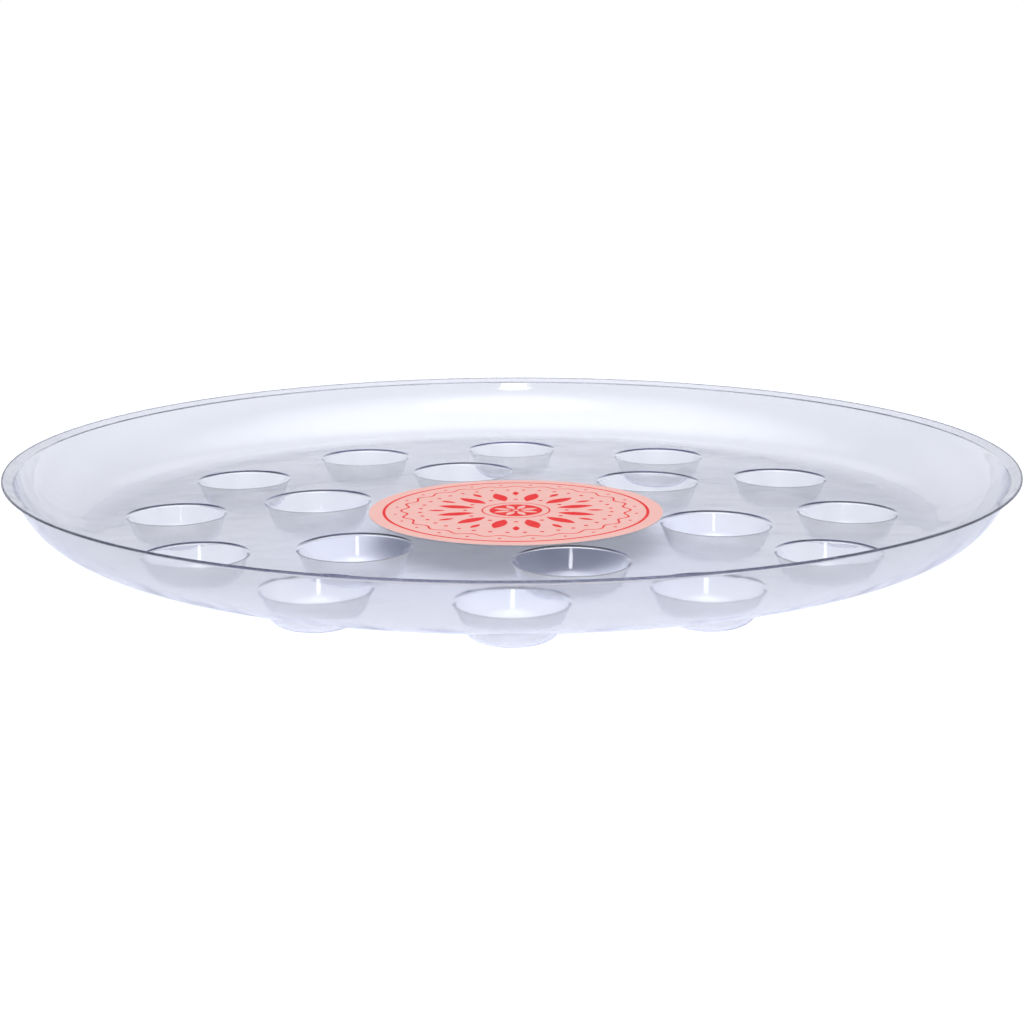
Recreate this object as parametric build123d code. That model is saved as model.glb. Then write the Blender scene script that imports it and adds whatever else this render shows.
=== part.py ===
"""A clear plastic drip saucer for a plant pot, formed from one round sheet.

The saucer has a slightly crowned floor, a curved wall, a flared lip and hollow round feet that
hold the floor off the ground. A round paper label is stuck to the flat middle of the floor.

Sizes are in millimetres. +Z is up, the saucer's axis is the Z axis, and the feet stand on Z = 0.
"""
from build123d import *
from math import atan2, cos, radians, sin, tan
import os

# The sheet
sheet_thickness = 0.8
cut_edge_radius = 0.2           # the raw edge of the lip is very slightly rounded

# The rim and the wall, measured on the upper face of the sheet
rim_diameter = 355.6            # across the cut edge of the lip, which is 14 inches
rim_rise = 22.05                # from the floor's edge up to the highest point of the lip
lip_width = 4.0                 # across the flared lip, seen from above
lip_rise = 1.5                  # how far the lip climbs over that width
lip_bend_radius = 1.2           # where the wall turns out into the lip
wall_width = 26.3               # from the edge of the floor out to the foot of the lip

# The floor falls away very gently from its flat middle, so that water drains outwards
floor_crown = 1.05              # how much higher its middle lies than its edge

# The feet, measured on the upper face of the sheet
foot_reach = 10.95              # from the floor's edge down to the ground
foot_draft = 21.0               # degrees by which a foot narrows on each side
foot_mouth_bend_radius = 1.4    # where the floor turns down into a foot
foot_toe_bend_radius = 6.6      # inside a foot, where its side turns into its flat bottom

outer_foot_count = 12
outer_foot_mouth_diameter = 34.6
outer_foot_first_angle = 0.0
outer_foot_inset = 26.11        # from the edge of the floor in to the middle of a foot

inner_foot_count = 6
inner_foot_mouth_diameter = 38.0
inner_foot_first_angle = 45.0
foot_ring_spacing = 46.8        # between the two rings on which the feet stand

# The label
label_thickness = 0.2
label_off_centre = 1.4          # it was stuck on a little to one side, along X
label_clearance = 1.0           # left between a centred label and the mouths of the inner feet
adhesive_thickness = 0.05
adhesive_margin = 0.8           # bare paper left round the adhesive coat

# Places that follow from the sizes above
floor_edge_height = foot_reach
floor_middle_height = floor_edge_height + floor_crown
rim_top = floor_edge_height + rim_rise
lip_slope = atan2(lip_rise, lip_width)

# The rounding takes a little off both corners of the cut edge, so the lip is cut that much longer.
lost_to_rounding = cut_edge_radius * (sin(lip_slope) + cos(lip_slope) - 1)
lip_end_radius = rim_diameter / 2 - sheet_thickness * sin(lip_slope) + lost_to_rounding
lip_end_height = rim_top + lost_to_rounding
lip_root_radius = lip_end_radius - lip_width
lip_root_height = lip_end_height - lip_rise
floor_radius = lip_root_radius - wall_width

outer_foot_ring_radius = floor_radius - outer_foot_inset
inner_foot_ring_radius = outer_foot_ring_radius - foot_ring_spacing

# A centred label just fits inside the mouths of the inner feet, and the flat middle is as wide.
inner_mouth_reach = inner_foot_mouth_diameter / 2 + foot_mouth_bend_radius
label_radius = inner_foot_ring_radius - inner_mouth_reach - label_clearance
floor_middle_radius = label_radius


def floor_height(radius):
    """How high the floor's upper face lies at a distance from the saucer's axis."""
    fall_share = (radius - floor_middle_radius) / (floor_radius - floor_middle_radius)
    return floor_middle_height - floor_crown * max(0, fall_share)


def sheet_band(path, thickness):
    """The section of a sheet whose upper face follows a path drawn outwards and upwards."""
    return make_face(offset(path, amount=thickness, side=Side.RIGHT, kind=Kind.INTERSECTION))


def round_corners(section, point, count, radius):
    """Round the corners of a section that lie nearest a point."""
    corners = section.vertices().sort_by_distance(Vector(*point))[:count]
    return fillet(corners, radius=radius)


def dish():
    """The floor, wall and lip, turned about the axis as one sheet with no feet yet."""
    middle = (0, floor_middle_height)
    middle_edge = (floor_middle_radius, floor_middle_height)
    floor_edge = (floor_radius, floor_edge_height)
    lip_root = (lip_root_radius, lip_root_height)
    lip_end = (lip_end_radius, lip_end_height)

    floor_line = Polyline(middle, middle_edge, floor_edge)
    wall_arc = TangentArc(floor_edge, lip_root, tangent=floor_line % 1)
    lip_line = Line(lip_root, lip_end)
    section = sheet_band(floor_line + wall_arc + lip_line, sheet_thickness)

    # The corner under the lip's root lies halfway between the undersides of the wall and the lip.
    under_wall = (wall_arc % 1).rotate(Axis.Z, -90)
    under_lip = (lip_line % 1).rotate(Axis.Z, -90)
    drop = sheet_thickness / (1 + under_wall.dot(under_lip))
    under_root = Vector(*lip_root) + (under_wall + under_lip) * drop
    section = round_corners(section, under_root, 1, lip_bend_radius - sheet_thickness)
    section = round_corners(section, lip_root, 1, lip_bend_radius)
    cut_edge_middle = (
        lip_end_radius + sheet_thickness * sin(lip_slope) / 2,
        lip_end_height - sheet_thickness * cos(lip_slope) / 2,
    )
    section = round_corners(section, cut_edge_middle, 2, cut_edge_radius)
    return revolve(Plane.XZ * section, Axis.Z)


def space_above_floor(depth):
    """Everything above the floor's upper face, lowered by a depth, out to the floor's edge."""
    outline = Polyline(
        (0, floor_middle_height - depth),
        (floor_middle_radius, floor_middle_height - depth),
        (floor_radius, floor_edge_height - depth),
        (floor_radius, rim_top),
        (0, rim_top),
        close=True,
    )
    return revolve(Plane.XZ * make_face(outline), Axis.Z)


def foot_form(mouth_diameter, mouth_height, skin):
    """The solid form of a foot on the Z axis, a skin's thickness outside its upper face.

    With no skin it is the hollow of the foot, and with the sheet's thickness its outside.
    """
    side_slope = tan(radians(foot_draft))
    mouth_radius = mouth_diameter / 2 + skin / cos(radians(foot_draft))
    bottom = sheet_thickness - skin
    top = floor_middle_height + sheet_thickness
    toe = (mouth_radius - (mouth_height - bottom) * side_slope, bottom)
    brim = (mouth_radius + (top - mouth_height) * side_slope, top)
    section = make_face(Polyline((0, bottom), toe, brim, (0, top), close=True))
    section = round_corners(section, toe, 1, foot_toe_bend_radius + skin)
    return revolve(Plane.XZ * section, Axis.Z)


def feet(skin):
    """The forms of all the feet, each in its place in one of the two rings."""
    outer_ring = PolarLocations(outer_foot_ring_radius, outer_foot_count, outer_foot_first_angle)
    inner_ring = PolarLocations(inner_foot_ring_radius, inner_foot_count, inner_foot_first_angle)
    outer_foot = foot_form(outer_foot_mouth_diameter, floor_height(outer_foot_ring_radius), skin)
    inner_foot = foot_form(inner_foot_mouth_diameter, floor_height(inner_foot_ring_radius), skin)
    return [place * outer_foot for place in outer_ring] + [place * inner_foot for place in inner_ring]


def saucer_shell():
    """The whole formed sheet, with its feet drawn down through the floor.

    The outsides of the feet are added below the middle of the sheet, and then their hollows are
    cut. Each time, the new edges round the mouths are rounded.
    """
    floor_and_wall = dish()
    upper_half = space_above_floor(sheet_thickness / 2)
    outsides = [form - upper_half for form in feet(sheet_thickness)]
    shell = floor_and_wall + outsides
    under_mouths = new_edges(floor_and_wall, *outsides, combined=shell)
    shell = fillet(under_mouths, radius=foot_mouth_bend_radius - sheet_thickness)

    hollows = feet(0)
    footed = shell - hollows
    mouths = new_edges(shell, *hollows, combined=footed)
    return fillet(mouths, radius=foot_mouth_bend_radius)


def label_layer(radius, bottom, thickness):
    """One round layer of the label, lying at a height above the ground."""
    align = (Align.CENTER, Align.CENTER, Align.MIN)
    return Pos(label_off_centre, 0, bottom) * Cylinder(radius, thickness, align=align)


def label():
    """The paper label and the adhesive coat under it, on the flat middle of the floor."""
    adhesive = label_layer(label_radius - adhesive_margin, floor_middle_height, adhesive_thickness)
    paper = label_layer(label_radius, floor_middle_height + adhesive_thickness, label_thickness)
    return adhesive, paper


label_adhesive, label_disc = label()
parts = {
    "saucer_shell": saucer_shell(),
    "label_adhesive": label_adhesive,
    "label_disc": label_disc,
}

os.makedirs("parts", exist_ok=True)
for name, solid in parts.items():
    export_step(solid, f"parts/{name}.step")
    print(name, round(solid.volume), "cubic mm")
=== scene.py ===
# %% [markdown]
# # A clear plastic plant saucer
#
# The real saucer is one round sheet of clear plastic, heated and drawn down over a mould, so its
# floor, wall, lip and hollow feet are a single skin less than a millimetre thick. A printed paper
# label is stuck to the middle of the floor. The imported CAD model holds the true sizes. This file
# only gives it looks: a smooth skin that light can bend through, a printed label, and a studio.
#
# Everything is in metres, +Z is up, and the feet stand on Z = 0.

# %% Load the frame
from math import atan2, cos, pi, radians, sin, sqrt, tan

import bmesh
import bpy
from mathutils import Matrix, Vector


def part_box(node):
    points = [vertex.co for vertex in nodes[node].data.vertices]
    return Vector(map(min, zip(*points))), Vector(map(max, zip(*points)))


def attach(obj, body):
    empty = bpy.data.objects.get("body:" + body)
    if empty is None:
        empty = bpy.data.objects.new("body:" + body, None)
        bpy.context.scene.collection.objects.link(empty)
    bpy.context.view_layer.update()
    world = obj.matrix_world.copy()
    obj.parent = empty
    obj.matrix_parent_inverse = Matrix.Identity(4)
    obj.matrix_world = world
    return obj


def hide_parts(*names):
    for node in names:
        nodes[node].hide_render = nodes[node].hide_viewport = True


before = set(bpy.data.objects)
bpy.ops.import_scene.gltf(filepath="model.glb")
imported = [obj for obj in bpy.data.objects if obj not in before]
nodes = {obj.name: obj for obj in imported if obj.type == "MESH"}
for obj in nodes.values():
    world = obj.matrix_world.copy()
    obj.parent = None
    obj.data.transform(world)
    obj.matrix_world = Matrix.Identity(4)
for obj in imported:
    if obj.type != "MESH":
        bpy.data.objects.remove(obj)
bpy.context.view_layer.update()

print("CAD nodes:", sorted(nodes))

# %% [markdown]
# ## Sizes
#
# The skin is rebuilt here as a fine smooth mesh, because a clear object shows every facet of a
# coarse one. Its sizes are the same driving sizes as the CAD model's, and the outer ones are read
# from the frame, so that the two can't drift apart.

# %% Sizes of the sheet, the wall and the feet
MM = 0.001
RIM_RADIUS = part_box("saucer_shell")[1].x
RIM_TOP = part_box("saucer_shell")[1].z
FLOOR_MIDDLE_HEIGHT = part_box("label_adhesive")[0].z

SHEET = 0.8 * MM
CUT_EDGE_RADIUS = 0.2 * MM

LIP_WIDTH = 4.0 * MM
LIP_RISE = 1.5 * MM
LIP_BEND_RADIUS = 1.2 * MM
WALL_WIDTH = 26.3 * MM

FLOOR_CROWN = 1.05 * MM
FLOOR_MIDDLE_RADIUS = 52.97 * MM
FLOOR_EDGE_HEIGHT = FLOOR_MIDDLE_HEIGHT - FLOOR_CROWN

FOOT_DRAFT = radians(21)
MOUTH_BEND_RADIUS = 1.4 * MM
TOE_BEND_RADIUS = 6.6 * MM

OUTER_MOUTH_RADIUS = 17.3 * MM
INNER_MOUTH_RADIUS = 19.0 * MM
OUTER_FOOT_INSET = 26.11 * MM
RING_SPACING = 46.8 * MM

print("rim radius", round(RIM_RADIUS / MM, 2), "mm, rim top", round(RIM_TOP / MM, 2), "mm")
print("middle of the floor", round(FLOOR_MIDDLE_HEIGHT / MM, 2), "mm up")

# %% [markdown]
# ## The section of the wall
#
# The wall is an arc that leaves the floor without a kink. The lip is a short straight flare, and a
# small bend joins the two. Each point is a radius from the axis and a height, so the list is the
# outline that a potter would cut as a template.


# %% Work out the outline of the wall and lip
def arc_points(centre, radius, start, end, steps):
    """Points along an arc, as (radius from the axis, height) pairs."""
    return [
        (
            centre[0] + radius * cos(start + (end - start) * step / steps),
            centre[1] + radius * sin(start + (end - start) * step / steps),
        )
        for step in range(steps + 1)
    ]


slope = atan2(LIP_RISE, LIP_WIDTH)
lost_to_rounding = CUT_EDGE_RADIUS * (sin(slope) + cos(slope) - 1)
lip_end = (RIM_RADIUS - SHEET * sin(slope) + lost_to_rounding, RIM_TOP + lost_to_rounding)
lip_root = (lip_end[0] - LIP_WIDTH, lip_end[1] - LIP_RISE)
floor_radius = lip_root[0] - WALL_WIDTH
floor_slope = atan2(FLOOR_CROWN, floor_radius - FLOOR_MIDDLE_RADIUS)


def floor_height(radius):
    """How high the upper face of the floor lies at a distance from the axis."""
    return FLOOR_EDGE_HEIGHT + (floor_radius - radius) * tan(floor_slope)


# The arc's centre lies square to the sloping floor, as far from its edge as from the lip's root.
rise = lip_root[1] - FLOOR_EDGE_HEIGHT
square_reach = WALL_WIDTH * sin(floor_slope) + rise * cos(floor_slope)
wall_radius = (WALL_WIDTH**2 + rise**2) / (2 * square_reach)
wall_centre = (
    floor_radius + wall_radius * sin(floor_slope),
    FLOOR_EDGE_HEIGHT + wall_radius * cos(floor_slope),
)
print("wall arc radius", round(wall_radius / MM, 2), "mm")
print("floor radius", round(floor_radius / MM, 2), "mm")

# The bend at the top of the wall touches both the wall's arc and the straight lip. Its centre is
# the bend's radius below the lip, and both radii away from the centre of the wall's arc.
start_x = lip_root[0] + LIP_BEND_RADIUS * sin(slope) - wall_centre[0]
start_z = lip_root[1] - LIP_BEND_RADIUS * cos(slope) - wall_centre[1]
along = start_x * cos(slope) + start_z * sin(slope)
reach = (wall_radius + LIP_BEND_RADIUS) ** 2 - start_x**2 - start_z**2
slide = sqrt(along**2 + reach) - along
bend_centre = (
    wall_centre[0] + start_x + slide * cos(slope),
    wall_centre[1] + start_z + slide * sin(slope),
)
touch = atan2(bend_centre[1] - wall_centre[1], bend_centre[0] - wall_centre[0])

WALL_STEPS = 24
BEND_STEPS = 6
FLOOR_COLLAR = 1.0 * MM
wall_outline = [(floor_radius - FLOOR_COLLAR, floor_height(floor_radius - FLOOR_COLLAR))]
wall_outline += arc_points(wall_centre, wall_radius, -pi / 2 - floor_slope, touch, WALL_STEPS)
bend_outline = arc_points(bend_centre, LIP_BEND_RADIUS, pi + touch, pi / 2 + slope, BEND_STEPS)
wall_outline += bend_outline[1:]

# One more point close to the lip's end keeps the flat of the lip flat. Without it, the smooth
# shading of the rounded cut edge would reach across the lip and bend the light in all of it.
LIP_COLLAR = 0.5 * MM
wall_outline += [(lip_end[0] - LIP_COLLAR, lip_end[1] - LIP_COLLAR * tan(slope)), lip_end]
print("wall outline has", len(wall_outline), "points")


# %% [markdown]
# ## The section of a foot
#
# A foot is a tapered cup with a small bend at its mouth, a large bend at its toe and a flat
# bottom. The outline begins on the floor, a little outside the bend, so that the shading of the
# floor stays even up to the very edge of each foot.


# %% Work out the outline of a foot
MOUTH_STEPS = 8
TOE_STEPS = 10


def foot_outline(mouth_radius, mouth_height):
    """The upper face of a foot, from the floor round its mouth down to its flat bottom."""
    bottom = SHEET
    turn = pi / 2 - FOOT_DRAFT
    toe_radius = mouth_radius - (mouth_height - bottom) * tan(FOOT_DRAFT)
    mouth_centre = (
        mouth_radius + MOUTH_BEND_RADIUS * tan(turn / 2),
        mouth_height - MOUTH_BEND_RADIUS,
    )
    toe_centre = (
        toe_radius - TOE_BEND_RADIUS * tan(turn / 2),
        bottom + TOE_BEND_RADIUS,
    )
    return (
        [(mouth_radius + MOUTH_BEND_RADIUS, mouth_height)]
        + arc_points(mouth_centre, MOUTH_BEND_RADIUS, pi / 2, pi - FOOT_DRAFT, MOUTH_STEPS)
        + arc_points(toe_centre, TOE_BEND_RADIUS, -FOOT_DRAFT, -pi / 2, TOE_STEPS)
    )


outer_ring_radius = floor_radius - OUTER_FOOT_INSET
inner_ring_radius = outer_ring_radius - RING_SPACING
outer_mouth_height = floor_height(outer_ring_radius)
inner_mouth_height = floor_height(inner_ring_radius)
print("outer mouths", round(outer_mouth_height / MM, 2), "mm up")
print("inner mouths", round(inner_mouth_height / MM, 2), "mm up")

# %% [markdown]
# ## Growing a skin from rings
#
# A turned shape can be grown by hand: start with a circle, extrude its edge, lift the new ring
# and scale it to its radius, and go on to the next ring. This needs no curve object, and the rings
# fall exactly where the outline has its points.


# %% Helpers: clear the selection, and grow rings
def deselect_all():
    """Nothing stays selected from the step before."""
    if bpy.context.mode != "OBJECT":
        bpy.ops.object.mode_set(mode="OBJECT")
    bpy.ops.object.select_all(action="DESELECT")


def only(piece):
    """Select one piece alone and make it active."""
    deselect_all()
    piece.select_set(True)
    bpy.context.view_layer.objects.active = piece


def grow_rings(name, outline, segments, centre_x=0.0):
    """A skin about an upright axis, grown ring by ring along (radius, height) points."""
    deselect_all()
    radius, height = outline[0]
    bpy.ops.mesh.primitive_circle_add(
        vertices=segments, radius=radius, location=(centre_x, 0, height)
    )
    piece = bpy.context.object
    piece.name = name
    bpy.ops.object.transform_apply()
    bpy.ops.object.mode_set(mode="EDIT")
    bpy.ops.mesh.select_mode(type="EDGE")
    bpy.ops.mesh.select_all(action="SELECT")
    for next_radius, next_height in outline[1:]:
        bpy.ops.mesh.extrude_edges_move(
            TRANSFORM_OT_translate={"value": (0, 0, next_height - height)}
        )
        scale = next_radius / radius
        bpy.ops.transform.resize(value=(scale, scale, 1), center_override=(centre_x, 0, 0))
        radius, height = next_radius, next_height
    return piece


# %% Grow the wall and lip
WALL_SEGMENTS = 288
saucer = grow_rings("saucer_skin", wall_outline, WALL_SEGMENTS)
deselect_all()
print("wall and lip:", len(saucer.data.polygons), "faces")

# %% [markdown]
# ## The feet
#
# One foot of each size is grown where the ring crosses the X axis, and its bottom is closed with
# one flat face. The floor slopes gently there, so the rings of the mouth are tipped to lie in it.
# The foot is then copied round its ring. Each copy has its own mesh, and all are joined to the
# wall, because the real sheet is one piece.

# %% Grow one foot of each size and copy it round its ring
FOOT_SEGMENTS = 72
OUTER_COUNT = 12
INNER_COUNT = 6
OUTER_FIRST_ANGLE = 0.0
INNER_FIRST_ANGLE = radians(45)


def turn_selection(angle, axis, centre):
    """Turn what is selected about an axis, counter-clockwise seen from the axis's far end."""
    bpy.ops.transform.rotate(value=-angle, orient_axis=axis, center_override=centre)


def tip_mouth(foot, ring_radius, mouth_height):
    """Tip the rings of a foot's mouth so that they lie in the sloping floor."""
    only(foot)
    bpy.ops.object.mode_set(mode="EDIT")
    bpy.ops.mesh.select_mode(type="VERT")
    bpy.ops.mesh.select_all(action="DESELECT")
    rings = bmesh.from_edit_mesh(foot.data)
    for corner in rings.verts:
        corner.select_set(corner.co.z > mouth_height - MOUTH_BEND_RADIUS)
    bmesh.update_edit_mesh(foot.data)
    turn_selection(floor_slope, "Y", (ring_radius, 0, mouth_height))
    deselect_all()


def ring_of_feet(name, mouth_radius, ring_radius, count, first_angle):
    """Copies of one foot, evenly spaced on a circle."""
    mouth_height = floor_height(ring_radius)
    outline = foot_outline(mouth_radius, mouth_height)
    foot = grow_rings(name, outline, FOOT_SEGMENTS, centre_x=ring_radius)
    bpy.ops.mesh.edge_face_add()
    tip_mouth(foot, ring_radius, mouth_height)
    feet = []
    for index in range(count):
        only(foot)
        bpy.ops.object.duplicate()
        turn_selection(first_angle + 2 * pi * index / count, "Z", (0, 0, 0))
        bpy.ops.object.transform_apply()
        feet.append(bpy.context.object)
    bpy.data.objects.remove(foot)
    return feet


outer_feet = ring_of_feet(
    "outer_foot", OUTER_MOUTH_RADIUS, outer_ring_radius, OUTER_COUNT, OUTER_FIRST_ANGLE
)
inner_feet = ring_of_feet(
    "inner_foot", INNER_MOUTH_RADIUS, inner_ring_radius, INNER_COUNT, INNER_FIRST_ANGLE
)

# %% [markdown]
# ## The floor
#
# The floor's flat middle is a disc. Round it lies what is left between the wall and the mouths of
# the feet. Blender's fill finds the holes by itself and covers the rest with triangles. They don't
# show, because the floor is almost flat and its shading is smooth.

# %% Join the pieces and fill the floor between them
deselect_all()
bpy.ops.mesh.primitive_circle_add(
    vertices=FOOT_SEGMENTS * 2,
    radius=FLOOR_MIDDLE_RADIUS,
    fill_type="NGON",
    location=(0, 0, FLOOR_MIDDLE_HEIGHT),
)
floor_middle = bpy.context.object
bpy.ops.object.transform_apply()
only(saucer)
for piece in [floor_middle, *outer_feet, *inner_feet]:
    piece.select_set(True)
bpy.ops.object.join()

bpy.ops.object.mode_set(mode="EDIT")
bpy.ops.mesh.select_mode(type="EDGE")
bpy.ops.mesh.select_all(action="DESELECT")
skin = bmesh.from_edit_mesh(saucer.data)
for edge in skin.edges:
    inside_wall = all(corner.co.xy.length < floor_radius for corner in edge.verts)
    edge.select_set(edge.is_boundary and inside_wall)
bmesh.update_edit_mesh(saucer.data)
bpy.ops.mesh.fill(use_beauty=True)
bpy.ops.mesh.select_all(action="SELECT")
bpy.ops.mesh.normals_make_consistent(inside=False)
skin = bmesh.from_edit_mesh(saucer.data)
if max(skin.faces, key=lambda face: face.calc_area()).normal.z < 0:
    bpy.ops.mesh.flip_normals()
deselect_all()
print("sheet before it has thickness:", len(saucer.data.polygons), "faces")

# %% [markdown]
# ## Thickness and the cut edge
#
# Solidify gives the sheet its thickness on the underside, so the upper face stays where it is. The
# rim that it adds is the raw cut edge of the lip. That edge is rounded a little, because a sharp
# corner catches no light.

# %% Thicken the sheet and round its cut edge
only(saucer)
thickness = saucer.modifiers.new("sheet_thickness", "SOLIDIFY")
thickness.thickness = SHEET
thickness.offset = -1
thickness.use_even_offset = True
bpy.ops.object.modifier_apply(modifier=thickness.name)

bpy.ops.object.mode_set(mode="EDIT")
bpy.ops.mesh.select_mode(type="EDGE")
bpy.ops.mesh.select_all(action="DESELECT")
skin = bmesh.from_edit_mesh(saucer.data)
SAME_HEIGHT = 0.001 * MM
cut_corner_radius = lip_end[0] - CUT_EDGE_RADIUS / 2
for edge in skin.edges:
    at_rim = all(corner.co.xy.length > cut_corner_radius for corner in edge.verts)
    along_rim = abs(edge.verts[0].co.z - edge.verts[1].co.z) < SAME_HEIGHT
    edge.select_set(at_rim and along_rim)
bmesh.update_edit_mesh(saucer.data)
bpy.ops.mesh.bevel(offset=CUT_EDGE_RADIUS, segments=3, affect="EDGES")
deselect_all()

only(saucer)
bpy.ops.object.shade_smooth_by_angle(angle=radians(50))
triangles = sum(len(face.vertices) - 2 for face in saucer.data.polygons)
print("saucer skin:", triangles, "triangles")


# %% [markdown]
# ## Working with shader nodes
#
# A material is a small drawing of nodes and links. Three helpers keep the rest short: one starts an
# empty material, one feeds a socket with a number, a colour or another node's output, and one adds
# a sum to the drawing.


# %% Helpers: a new material, a fed socket, and a sum
def new_material(name):
    """A material with an empty node tree, and that tree."""
    material = bpy.data.materials.new(name)
    material.use_nodes = True
    material.node_tree.nodes.clear()
    return material, material.node_tree


def feed(tree, value, socket):
    """Give a socket a plain number or colour, or link another node's output to it."""
    if isinstance(value, bpy.types.NodeSocket):
        tree.links.new(value, socket)
    else:
        socket.default_value = value


def calculate(tree, operation, first, second=0.0, third=0.0):
    """Add one sum to a node tree, and return its result."""
    step = tree.nodes.new("ShaderNodeMath")
    step.operation = operation
    for value, socket in zip((first, second, third), step.inputs):
        feed(tree, value, socket)
    return step.outputs[0]


def ramp(tree, value, start, end, low=0.0, high=1.0):
    """Turn a value between two limits into a smooth rise from low to high."""
    step = tree.nodes.new("ShaderNodeMapRange")
    step.interpolation_type = "SMOOTHSTEP"
    for amount, socket in zip((value, start, end, low, high), step.inputs):
        feed(tree, amount, socket)
    return step.outputs["Result"]


def mix_colours(tree, share, first, second):
    """Blend two colours by a share from 0 to 1."""
    step = tree.nodes.new("ShaderNodeMix")
    step.data_type = "RGBA"
    feed(tree, share, step.inputs["Factor"])
    feed(tree, first, step.inputs["A"])
    feed(tree, second, step.inputs["B"])
    return step.outputs["Result"]


print("shader helpers are ready")

# %% [markdown]
# ## One unevenness for every finish
#
# Nothing that is formed, printed or coated is perfectly even. The sheet has slow waves from being
# stretched over its mould, the paper has fibres and cloudy ink, and the adhesive lies in patches.
# All of these are soft noise at different sizes, so one node group makes it for all the materials,
# with its own size and strength in each.

# %% The unevenness group
uneven = bpy.data.node_groups.new("soft_unevenness", "ShaderNodeTree")
uneven.interface.new_socket("Position", in_out="INPUT", socket_type="NodeSocketVector")
for socket_name, usual_value in [("Waves per metre", 60.0), ("Low", 0.0), ("High", 1.0)]:
    socket = uneven.interface.new_socket(socket_name, in_out="INPUT", socket_type="NodeSocketFloat")
    socket.default_value = usual_value
uneven.interface.new_socket("Value", in_out="OUTPUT", socket_type="NodeSocketFloat")

group_input = uneven.nodes.new("NodeGroupInput")
group_output = uneven.nodes.new("NodeGroupOutput")
clouds = uneven.nodes.new("ShaderNodeTexNoise")
clouds.inputs["Detail"].default_value = 1.0
uneven.links.new(group_input.outputs["Position"], clouds.inputs["Vector"])
uneven.links.new(group_input.outputs["Waves per metre"], clouds.inputs["Scale"])
spread = uneven.nodes.new("ShaderNodeMapRange")
spread.inputs["From Min"].default_value = 0.25
spread.inputs["From Max"].default_value = 0.75
uneven.links.new(clouds.outputs["Fac"], spread.inputs["Value"])
uneven.links.new(group_input.outputs["Low"], spread.inputs["To Min"])
uneven.links.new(group_input.outputs["High"], spread.inputs["To Max"])
uneven.links.new(spread.outputs["Result"], group_output.inputs["Value"])
print("group", uneven.name, "has", len(uneven.nodes), "nodes")


def unevenness(tree, position, wave_length, low=0.0, high=1.0):
    """Place the unevenness group in a material, with waves of a length in metres."""
    placed = tree.nodes.new("ShaderNodeGroup")
    placed.node_tree = uneven
    feed(tree, position, placed.inputs["Position"])
    placed.inputs["Waves per metre"].default_value = 1 / wave_length
    placed.inputs["Low"].default_value = low
    placed.inputs["High"].default_value = high
    return placed.outputs["Value"]


# %% [markdown]
# ## The look of clear plastic
#
# The sheet is clear with a faint lilac tint, glossy, and a little hazy. It could be faked as a thin
# see-through surface, but this mesh has a true thickness, so a real glass-like shader bends the
# light through it. The slow waves go into the normal. They pull the reflections of the lamps into
# the short broken streaks that a formed sheet shows. The lip's cut edge was left as it came from
# the cutter, so it gets deep fine marks that scatter light. They are placed by the distance from
# the axis.

# %% The surface of the clear sheet
SHEET_IOR = 1.54
SHEET_WAVE_LENGTH = 15 * MM
SHEET_WAVE_HEIGHT = 0.06 * MM
SHEET_HAZE = 0.06
DEEPER_TINT = (0.947, 0.949, 0.929, 1)
PALER_TINT = (0.972, 0.972, 0.949, 1)

# The marks on the cut edge are short, and this many times as deep as the slow waves.
SAW_MARK_LENGTH = 0.25 * MM
SAW_MARK_DEPTH = 6.0

clear, tree = new_material("clear_plastic")
place = tree.nodes.new("ShaderNodeTexCoord").outputs["Object"]
plastic = tree.nodes.new("ShaderNodeBsdfPrincipled")
plastic.inputs["Roughness"].default_value = SHEET_HAZE
plastic.inputs["IOR"].default_value = SHEET_IOR
plastic.inputs["Transmission Weight"].default_value = 1.0

thinner_and_thicker = unevenness(tree, place, 55 * MM)
sheet_tint = mix_colours(tree, thinner_and_thicker, DEEPER_TINT, PALER_TINT)
tree.links.new(sheet_tint, plastic.inputs["Base Color"])

from_axis = tree.nodes.new("ShaderNodeVectorMath")
from_axis.operation = "LENGTH"
flattened = tree.nodes.new("ShaderNodeVectorMath")
flattened.operation = "MULTIPLY"
flattened.inputs[1].default_value = (1, 1, 0)
tree.links.new(place, flattened.inputs[0])
tree.links.new(flattened.outputs[0], from_axis.inputs[0])
cut_edge = ramp(tree, from_axis.outputs["Value"], RIM_RADIUS - 0.4 * MM, RIM_RADIUS - 0.2 * MM)
marks = unevenness(tree, place, SAW_MARK_LENGTH, 0.0, SAW_MARK_DEPTH)
saw_marks = calculate(tree, "MULTIPLY", cut_edge, marks)

waves = tree.nodes.new("ShaderNodeBump")
waves.inputs["Distance"].default_value = SHEET_WAVE_HEIGHT
waves_and_marks = calculate(tree, "ADD", unevenness(tree, place, SHEET_WAVE_LENGTH), saw_marks)
tree.links.new(waves_and_marks, waves.inputs["Height"])
tree.links.new(waves.outputs["Normal"], plastic.inputs["Normal"])
print("waves", SHEET_WAVE_LENGTH / MM, "mm long and", SHEET_WAVE_HEIGHT / MM, "mm high")

# %% [markdown]
# ## Light that passes through the sheet, and light that stays in it
#
# A lamp's light that falls through the sheet should reach the ground, but the renderer doesn't
# search for bent paths to a lamp. So for shadow rays alone the sheet is plainly see-through, with
# the tint that two faces of plastic leave on the light.
#
# Light that enters at a tight bend or at the cut edge stays inside the sheet and runs along it for
# a long way. It comes out much darker, which is why the bends and the cut edge show as dark violet
# lines. An absorbing volume gives that by itself, where a tint on the surface could not.

# %% Shadow rays and the tint inside the sheet
SHADOW_TINT = (0.963, 0.967, 0.978, 1)
INSIDE_COLOUR = (0.0, 0.06, 0.60, 1)
INSIDE_DENSITY = 80.0

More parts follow.
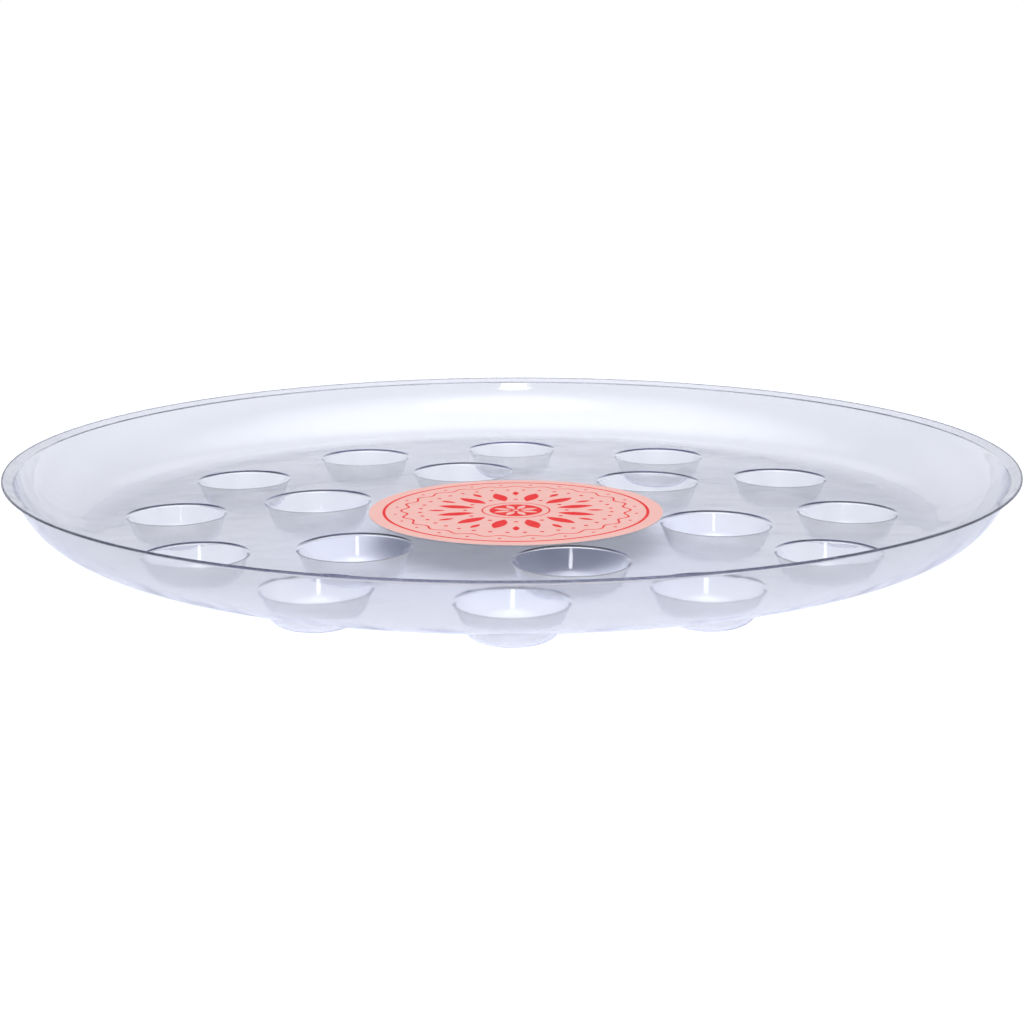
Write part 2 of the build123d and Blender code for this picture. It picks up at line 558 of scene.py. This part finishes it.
see_through = tree.nodes.new("ShaderNodeBsdfTransparent")
see_through.inputs["Color"].default_value = SHADOW_TINT
is_shadow = tree.nodes.new("ShaderNodeLightPath").outputs["Is Shadow Ray"]
surface = tree.nodes.new("ShaderNodeMixShader")
tree.links.new(is_shadow, surface.inputs[0])
tree.links.new(plastic.outputs[0], surface.inputs[1])
tree.links.new(see_through.outputs[0], surface.inputs[2])

inside = tree.nodes.new("ShaderNodeVolumeAbsorption")
inside.inputs["Color"].default_value = INSIDE_COLOUR
inside.inputs["Density"].default_value = INSIDE_DENSITY

output = tree.nodes.new("ShaderNodeOutputMaterial")
tree.links.new(surface.outputs[0], output.inputs["Surface"])
tree.links.new(inside.outputs[0], output.inputs["Volume"])

saucer.data.materials.clear()
saucer.data.materials.append(clear)
saucer.visible_diffuse = False
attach(saucer, "root")
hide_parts("saucer_shell")
print("clear sheet:", len(tree.nodes), "nodes")

# %% [markdown]
# ## The printed label
#
# The label is a round of thin salmon paper with a red print. Here the print is a plain ornament: a
# flower on a red spot, a wreath of leaves, dots, a scalloped line and a ring. It could be drawn
# with curves, but a pattern worked out in the material has no pixels and stays sharp up close.
#
# A Mapping node moves the pattern's centre onto the label, which was stuck on a little to one side.
# From there each point gets a distance and an angle, as on a compass rose.

# %% Distance and angle from the label's centre
label_low, label_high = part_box("label_disc")
LABEL_RADIUS = (label_high.x - label_low.x) / 2
LABEL_CENTRE = (label_low.x + label_high.x) / 2
LABEL_TOP = label_high.z

paper, tree = new_material("printed_paper")
place = tree.nodes.new("ShaderNodeTexCoord").outputs["Object"]
centred = tree.nodes.new("ShaderNodeMapping")
centred.inputs["Location"].default_value = (-LABEL_CENTRE, 0, 0)
tree.links.new(place, centred.inputs["Vector"])
split = tree.nodes.new("ShaderNodeSeparateXYZ")
tree.links.new(centred.outputs["Vector"], split.inputs[0])
across, along, height = split.outputs

distance = calculate(
    tree,
    "SQRT",
    calculate(tree, "MULTIPLY_ADD", across, across, calculate(tree, "MULTIPLY", along, along)),
)
angle = calculate(tree, "ARCTAN2", along, across)
print("label radius", round(LABEL_RADIUS / MM, 2), "mm")
print("label centre at X", round(LABEL_CENTRE / MM, 2), "mm")

# %% [markdown]
# ## Inking a shape
#
# Ink lies where the distance to a shape's middle line is less than half its width. The border is a
# tenth of a millimetre soft, as where ink creeps into paper. What repeats round the label is worked
# out once: the angle is cut into equal slices, and each slice is measured from its own middle.


# %% Helpers: ink, a ring, and slices of the round
INK_CREEP = 0.1 * MM


def ink(from_middle_line, half_width):
    """A mask that is 1 within half a width of a line and 0 outside it."""
    return ramp(tree, from_middle_line, half_width + INK_CREEP, half_width - INK_CREEP)


def ring(radius, width):
    """A ring of ink round the label's centre."""
    off_line = calculate(tree, "ABSOLUTE", calculate(tree, "SUBTRACT", distance, radius))
    return ink(off_line, width / 2)


def slices(count, radius, shift=0.0):
    """Distances outwards and sideways from the middle of the nearest of many equal slices."""
    turns = calculate(tree, "MULTIPLY_ADD", angle, count / (2 * pi), shift)
    in_slice = calculate(tree, "SUBTRACT", calculate(tree, "FRACT", turns), 0.5)
    own_angle = calculate(tree, "MULTIPLY", in_slice, 2 * pi / count)
    outwards = calculate(tree, "MULTIPLY", distance, calculate(tree, "COSINE", own_angle))
    sideways = calculate(tree, "MULTIPLY", distance, calculate(tree, "SINE", own_angle))
    return calculate(tree, "SUBTRACT", outwards, radius), sideways


def dots(count, radius, size, shift=0.0):
    """Round dots in a ring."""
    outwards, sideways = slices(count, radius, shift)
    sideways_squared = calculate(tree, "MULTIPLY", sideways, sideways)
    both_squared = calculate(tree, "MULTIPLY_ADD", outwards, outwards, sideways_squared)
    return ink(calculate(tree, "SQRT", both_squared), size / 2)


def leaves(count, radius, length, width, shift=0.0):
    """Pointed leaves in a ring, each widest in its middle and narrowing to nothing at its tips."""
    outwards, sideways = slices(count, radius, shift)
    share = calculate(tree, "DIVIDE", outwards, length / 2)
    narrowing = calculate(tree, "MULTIPLY", calculate(tree, "MULTIPLY", share, share), width / 2)
    return ink(calculate(tree, "ADD", calculate(tree, "ABSOLUTE", sideways), narrowing), width / 2)


def together(*masks):
    """One mask that is inked wherever any of several is."""
    whole = masks[0]
    for mask in masks[1:]:
        whole = calculate(tree, "MAXIMUM", whole, mask)
    return whole


# %% Draw the ornament
FLOWER_SPOT = 9.6 * MM
FLOWER_HEART = 1.1 * MM
spot = ink(distance, FLOWER_SPOT)
petals = leaves(8, 5.2 * MM, 6.6 * MM, 2.5 * MM)
flower = together(petals, ink(distance, FLOWER_HEART))
flower_spot = calculate(tree, "SUBTRACT", spot, flower)

wreath = together(
    ring(12.2 * MM, 0.6 * MM),
    leaves(12, 22.4 * MM, 14.0 * MM, 5.0 * MM),
    leaves(12, 28.6 * MM, 6.4 * MM, 2.4 * MM, shift=0.5),
    dots(12, 18.4 * MM, 1.7 * MM, shift=0.5),
    dots(36, 34.6 * MM, 1.6 * MM),
)

SCALLOPS = 24
scallop = calculate(tree, "COSINE", calculate(tree, "MULTIPLY", angle, float(SCALLOPS)))
scalloped_radius = calculate(tree, "MULTIPLY_ADD", scallop, 1.1 * MM, 40.4 * MM)
off_scallop = calculate(tree, "ABSOLUTE", calculate(tree, "SUBTRACT", distance, scalloped_radius))
border = together(
    ink(off_scallop, 0.4 * MM),
    dots(SCALLOPS, 43.6 * MM, 1.3 * MM),
    ring(47.6 * MM, 1.1 * MM),
)

print_mask = together(flower_spot, wreath, border)
print("the ornament uses", len(tree.nodes), "nodes")

# %% [markdown]
# ## Paper and ink
#
# The ground is printed too, so its salmon is slightly cloudy, and the red is thinner in places. The
# fibres of the paper give a very fine grain. The cut side and the back of the label are bare paper,
# which only shows through the clear floor from below, so the height on the label tells them apart.

# %% The label's colours and grain
SALMON = (0.87, 0.485, 0.43, 1)
SALMON_PALE = (0.89, 0.51, 0.455, 1)
RED = (0.80, 0.006, 0.010, 1)
RED_THIN = (0.83, 0.035, 0.034, 1)
BARE_PAPER = (0.66, 0.65, 0.63, 1)
BARE_PAPER_DARK = (0.60, 0.59, 0.575, 1)

ground = mix_colours(tree, unevenness(tree, place, 9 * MM), SALMON, SALMON_PALE)
red_ink = mix_colours(tree, unevenness(tree, place, 1.2 * MM), RED, RED_THIN)
printed = mix_colours(tree, print_mask, ground, red_ink)
bare = mix_colours(tree, unevenness(tree, place, 3 * MM), BARE_PAPER, BARE_PAPER_DARK)
is_top = calculate(tree, "GREATER_THAN", height, LABEL_TOP - 0.02 * MM)

sheen = tree.nodes.new("ShaderNodeBsdfPrincipled")
sheen.inputs["Specular IOR Level"].default_value = 0.2
tree.links.new(mix_colours(tree, is_top, bare, printed), sheen.inputs["Base Color"])
tree.links.new(unevenness(tree, place, 4 * MM, 0.48, 0.62), sheen.inputs["Roughness"])
fibres = tree.nodes.new("ShaderNodeBump")
fibres.inputs["Distance"].default_value = 0.006 * MM
tree.links.new(unevenness(tree, place, 0.35 * MM), fibres.inputs["Height"])
tree.links.new(fibres.outputs["Normal"], sheen.inputs["Normal"])
output = tree.nodes.new("ShaderNodeOutputMaterial")
tree.links.new(sheen.outputs[0], output.inputs["Surface"])

label_disc = nodes["label_disc"]
label_disc.data.materials.clear()
label_disc.data.materials.append(paper)
print("printed paper:", len(tree.nodes), "nodes")

# %% [markdown]
# ## The adhesive under the label
#
# The adhesive is a milky coat that was rolled on, so it is thicker and whiter in patches. It can
# only be seen from below, through the floor. Its grey keeps the shadow under the label neutral.

# %% The adhesive coat's material
coat, tree = new_material("adhesive_coat")
place = tree.nodes.new("ShaderNodeTexCoord").outputs["Object"]
film = tree.nodes.new("ShaderNodeBsdfPrincipled")
patches = unevenness(tree, place, 6 * MM)
tree.links.new(
    mix_colours(tree, patches, (0.46, 0.455, 0.44, 1), (0.56, 0.555, 0.535, 1)),
    film.inputs["Base Color"],
)
tree.links.new(unevenness(tree, place, 2.5 * MM, 0.30, 0.48), film.inputs["Roughness"])
output = tree.nodes.new("ShaderNodeOutputMaterial")
tree.links.new(film.outputs[0], output.inputs["Surface"])

label_adhesive = nodes["label_adhesive"]
label_adhesive.data.materials.clear()
label_adhesive.data.materials.append(coat)
print("adhesive coat:", len(tree.nodes), "nodes")

# %% [markdown]
# ## The studio floor
#
# The saucer stands on a large pale floor. Lit by the room alone the floor would be light grey, so
# it glows a little more for rays that come straight from the camera, which makes it white there
# and keeps the saucer's shadow. Rays that the plastic mirrors or lets through get a weaker glow,
# because in a clear sheet a floor looks darker than beside it. For rays that are let through,
# pools of painted light are added on the floor: a little brighter under the front of the saucer,
# and a brighter, bluer pool under the label, which lifts the label's shadow.
#
# Far away the floor turns into the same white as the backdrop, so that no horizon shows.

# %% Floor plane and its material
STUDIO_FLOOR_SIZE = 12.0
CAMERA_GLOW = 0.4
PLASTIC_GLOW = 0.172
# Painted light: two pools of glow on the floor, one under the front of the saucer and a brighter,
# bluer one under the label, over its shadow.
PAINTED_FRONT_LIGHT = 0.20
PAINTED_LABEL_LIGHT = 0.11
FLOOR_PAINT = (0.765, 0.775, 0.82, 1)
GLOW_COLOUR = (0.84, 0.88, 0.96, 1)
PAINTED_LABEL_LIGHT_COLOUR = (0.58, 0.64, 0.95, 1)

deselect_all()
bpy.ops.mesh.primitive_plane_add(size=STUDIO_FLOOR_SIZE, location=(0, 0, -0.1 * MM))
studio_floor = bpy.context.object
studio_floor.name = "studio_floor"

white, tree = new_material("studio_white")
paint = tree.nodes.new("ShaderNodeBsdfDiffuse")
paint.inputs["Color"].default_value = FLOOR_PAINT
place = tree.nodes.new("ShaderNodeTexCoord").outputs["Object"]
path = tree.nodes.new("ShaderNodeLightPath")
along_floor = tree.nodes.new("ShaderNodeSeparateXYZ")
tree.links.new(place, along_floor.inputs[0])
away = tree.nodes.new("ShaderNodeVectorMath")
away.operation = "LENGTH"
tree.links.new(place, away.inputs[0])
# Painted light: the masks of the two pools, in front of the saucer and under the label.
painted_front_pool = ramp(tree, along_floor.outputs["Y"], -40 * MM, -100 * MM, 0.0, PAINTED_FRONT_LIGHT)
painted_pool_under_label = ramp(tree, away.outputs["Value"], 110 * MM, 60 * MM)
painted_light_pools = calculate(tree, "MULTIPLY_ADD", painted_pool_under_label, PAINTED_LABEL_LIGHT, painted_front_pool)
is_mirrored = path.outputs["Is Glossy Ray"]
is_let_through = path.outputs["Is Transmission Ray"]
by_plastic = calculate(tree, "MAXIMUM", is_mirrored, is_let_through)
everywhere = calculate(tree, "MULTIPLY", by_plastic, PLASTIC_GLOW)
in_plastic = calculate(tree, "MULTIPLY_ADD", is_let_through, painted_light_pools, everywhere)
lift = calculate(tree, "MULTIPLY_ADD", path.outputs["Is Camera Ray"], CAMERA_GLOW, in_plastic)
glow = tree.nodes.new("ShaderNodeEmission")
# The painted pool of light under the label gets a bluer colour.
glow_and_painted_blue = mix_colours(tree, painted_pool_under_label, GLOW_COLOUR, PAINTED_LABEL_LIGHT_COLOUR)
tree.links.new(glow_and_painted_blue, glow.inputs["Color"])
tree.links.new(lift, glow.inputs["Strength"])
near_floor = tree.nodes.new("ShaderNodeAddShader")
tree.links.new(paint.outputs[0], near_floor.inputs[0])
tree.links.new(glow.outputs[0], near_floor.inputs[1])
print("floor", STUDIO_FLOOR_SIZE, "m wide")
print("glow", CAMERA_GLOW, "for the camera and", PLASTIC_GLOW, "for the plastic")

# %% Let the floor fade into the backdrop
FADE_START = 0.6
FADE_END = 1.5
far_floor = tree.nodes.new("ShaderNodeEmission")
fade = tree.nodes.new("ShaderNodeMixShader")
tree.links.new(ramp(tree, away.outputs["Value"], FADE_START, FADE_END), fade.inputs[0])
tree.links.new(near_floor.outputs[0], fade.inputs[1])
tree.links.new(far_floor.outputs[0], fade.inputs[2])
output = tree.nodes.new("ShaderNodeOutputMaterial")
tree.links.new(fade.outputs[0], output.inputs["Surface"])
studio_floor.data.materials.append(white)
print("studio floor:", len(tree.nodes), "nodes")

# %% [markdown]
# ## The light of the room
#
# Clear plastic has hardly any colour of its own. What it shows is the room, so the room is drawn
# with care: pale walls, a broad soft ceiling, a softer patch towards the camera and another behind
# the saucer, and one small lamp high in front, which makes the upright streaks in the feet. The
# walls are dimmer behind the camera and at the sides, so that the bends have something dark to
# show. The lamps could be area lamps, but a lamp painted on the world is also found by light that
# was bent. The camera itself sees a plain white backdrop.


# %% A soft patch of light in the room
world = bpy.data.worlds.new("studio")
bpy.context.scene.world = world
world.use_nodes = True
room_tree = world.node_tree
room_tree.nodes.clear()
direction = room_tree.nodes.new("ShaderNodeTexCoord").outputs["Generated"]


def soft_patch(azimuth, elevation, inner, outer, strength):
    """A round patch, full within one angle and gone at another. Azimuth 0 is the camera's side."""
    facing = room_tree.nodes.new("ShaderNodeVectorMath")
    facing.operation = "DOT_PRODUCT"
    facing.inputs[1].default_value = (
        cos(radians(elevation)) * sin(radians(azimuth)),
        -cos(radians(elevation)) * cos(radians(azimuth)),
        sin(radians(elevation)),
    )
    room_tree.links.new(direction, facing.inputs[0])
    full, gone = cos(radians(inner)), cos(radians(outer))
    return ramp(room_tree, facing.outputs["Value"], gone, full, 0.0, strength)


def add_up(*amounts):
    """The sum of several brightnesses."""
    total = amounts[0]
    for amount in amounts[1:]:
        total = calculate(room_tree, "ADD", total, amount)
    return total


# %% Walls and lamps
upwards = room_tree.nodes.new("ShaderNodeSeparateXYZ")
room_tree.links.new(direction, upwards.inputs[0])
low_walls = ramp(room_tree, upwards.outputs["Z"], sin(radians(2)), sin(radians(10)), 0.74, 0.55)
high_walls = ramp(room_tree, upwards.outputs["Z"], sin(radians(16)), sin(radians(40)), 0.0, -0.3)
dim_near = soft_patch(0, 5, 30, 80, -0.35)
dim_left = soft_patch(-90, 5, 25, 70, -0.35)
dim_right = soft_patch(90, 5, 25, 70, -0.15)
DARKEST_WALL = 0.05
dimmed = add_up(low_walls, high_walls, dim_near, dim_left, dim_right)
walls = calculate(room_tree, "MAXIMUM", dimmed, DARKEST_WALL)

ceiling = soft_patch(0, 82, 15, 55, 2.05)
towards_camera = soft_patch(0, 60, 8, 22, 1.3)
behind_saucer = soft_patch(180, 40, 6, 16, 0.4)
streak_lamp = soft_patch(0, 29, 2.0, 4.6, 8.0)
brightness = add_up(walls, ceiling, towards_camera, behind_saucer, streak_lamp)

room = room_tree.nodes.new("ShaderNodeBackground")
room.inputs["Color"].default_value = (0.955, 0.965, 1.0, 1)
room_tree.links.new(brightness, room.inputs["Strength"])
backdrop = room_tree.nodes.new("ShaderNodeBackground")
backdrop.inputs["Color"].default_value = (1, 1, 1, 1)
is_camera = room_tree.nodes.new("ShaderNodeLightPath").outputs["Is Camera Ray"]
choice = room_tree.nodes.new("ShaderNodeMixShader")
room_tree.links.new(is_camera, choice.inputs[0])
room_tree.links.new(room.outputs[0], choice.inputs[1])
room_tree.links.new(backdrop.outputs[0], choice.inputs[2])
output = room_tree.nodes.new("ShaderNodeOutputWorld")
room_tree.links.new(choice.outputs[0], output.inputs["Surface"])
print("room:", len(room_tree.nodes), "nodes")

# %% [markdown]
# ## How often light may bounce
#
# Light that runs along inside a sheet less than a millimetre thick is turned back by its faces
# hundreds of times. If the renderer gives up too soon, the bends and the cut edge go black, so it
# may bounce very often. This costs little, because few rays stay inside for so long.

# %% Allow long paths inside the sheet
MOST_BOUNCES = 400
scene = bpy.context.scene
scene.cycles.max_bounces = MOST_BOUNCES
scene.cycles.transmission_bounces = MOST_BOUNCES
scene.cycles.glossy_bounces = MOST_BOUNCES
scene.cycles.transparent_max_bounces = 24
scene.cycles.caustics_refractive = False
scene.view_settings.view_transform = "Standard"
print("light may bounce", scene.cycles.max_bounces, "times")

# %% [markdown]
# ## The camera
#
# The photograph looks down on the saucer at about 13 degrees from 0.7 m away. The rim, the feet and
# the label only fall in their places when the distance and the lens are right together, because
# the near side of the saucer is drawn larger than the far side.

# %% Place the camera
PHOTO_SIDE = 1024
FOCAL_PIXELS = 1942.5
PHOTO_ELEVATION = radians(12.868)
PHOTO_DISTANCE = 0.70228
PHOTO_AIM_HEIGHT = 11 * MM
PHOTO_ROLL = radians(-0.2)
AIM_RISE = atan2(1.58, FOCAL_PIXELS)
SENSOR = 36.0

camera_data = bpy.data.cameras.new("photo_camera")
camera_data.sensor_width = SENSOR
camera_data.lens = SENSOR * FOCAL_PIXELS / PHOTO_SIDE
camera = bpy.data.objects.new("photo_camera", camera_data)
scene.collection.objects.link(camera)
scene.camera = camera
camera.location = (
    0,
    -PHOTO_DISTANCE * cos(PHOTO_ELEVATION),
    PHOTO_AIM_HEIGHT + PHOTO_DISTANCE * sin(PHOTO_ELEVATION),
)
look = PHOTO_ELEVATION - AIM_RISE
forward = Vector((0, cos(look), -sin(look)))
level = forward.to_track_quat("-Z", "Y")
camera.rotation_mode = "QUATERNION"
camera.rotation_quaternion = level @ Matrix.Rotation(PHOTO_ROLL, 3, "Z").to_quaternion()
print("lens", round(camera_data.lens, 2), "mm, camera height", round(camera.location.z, 4), "m")
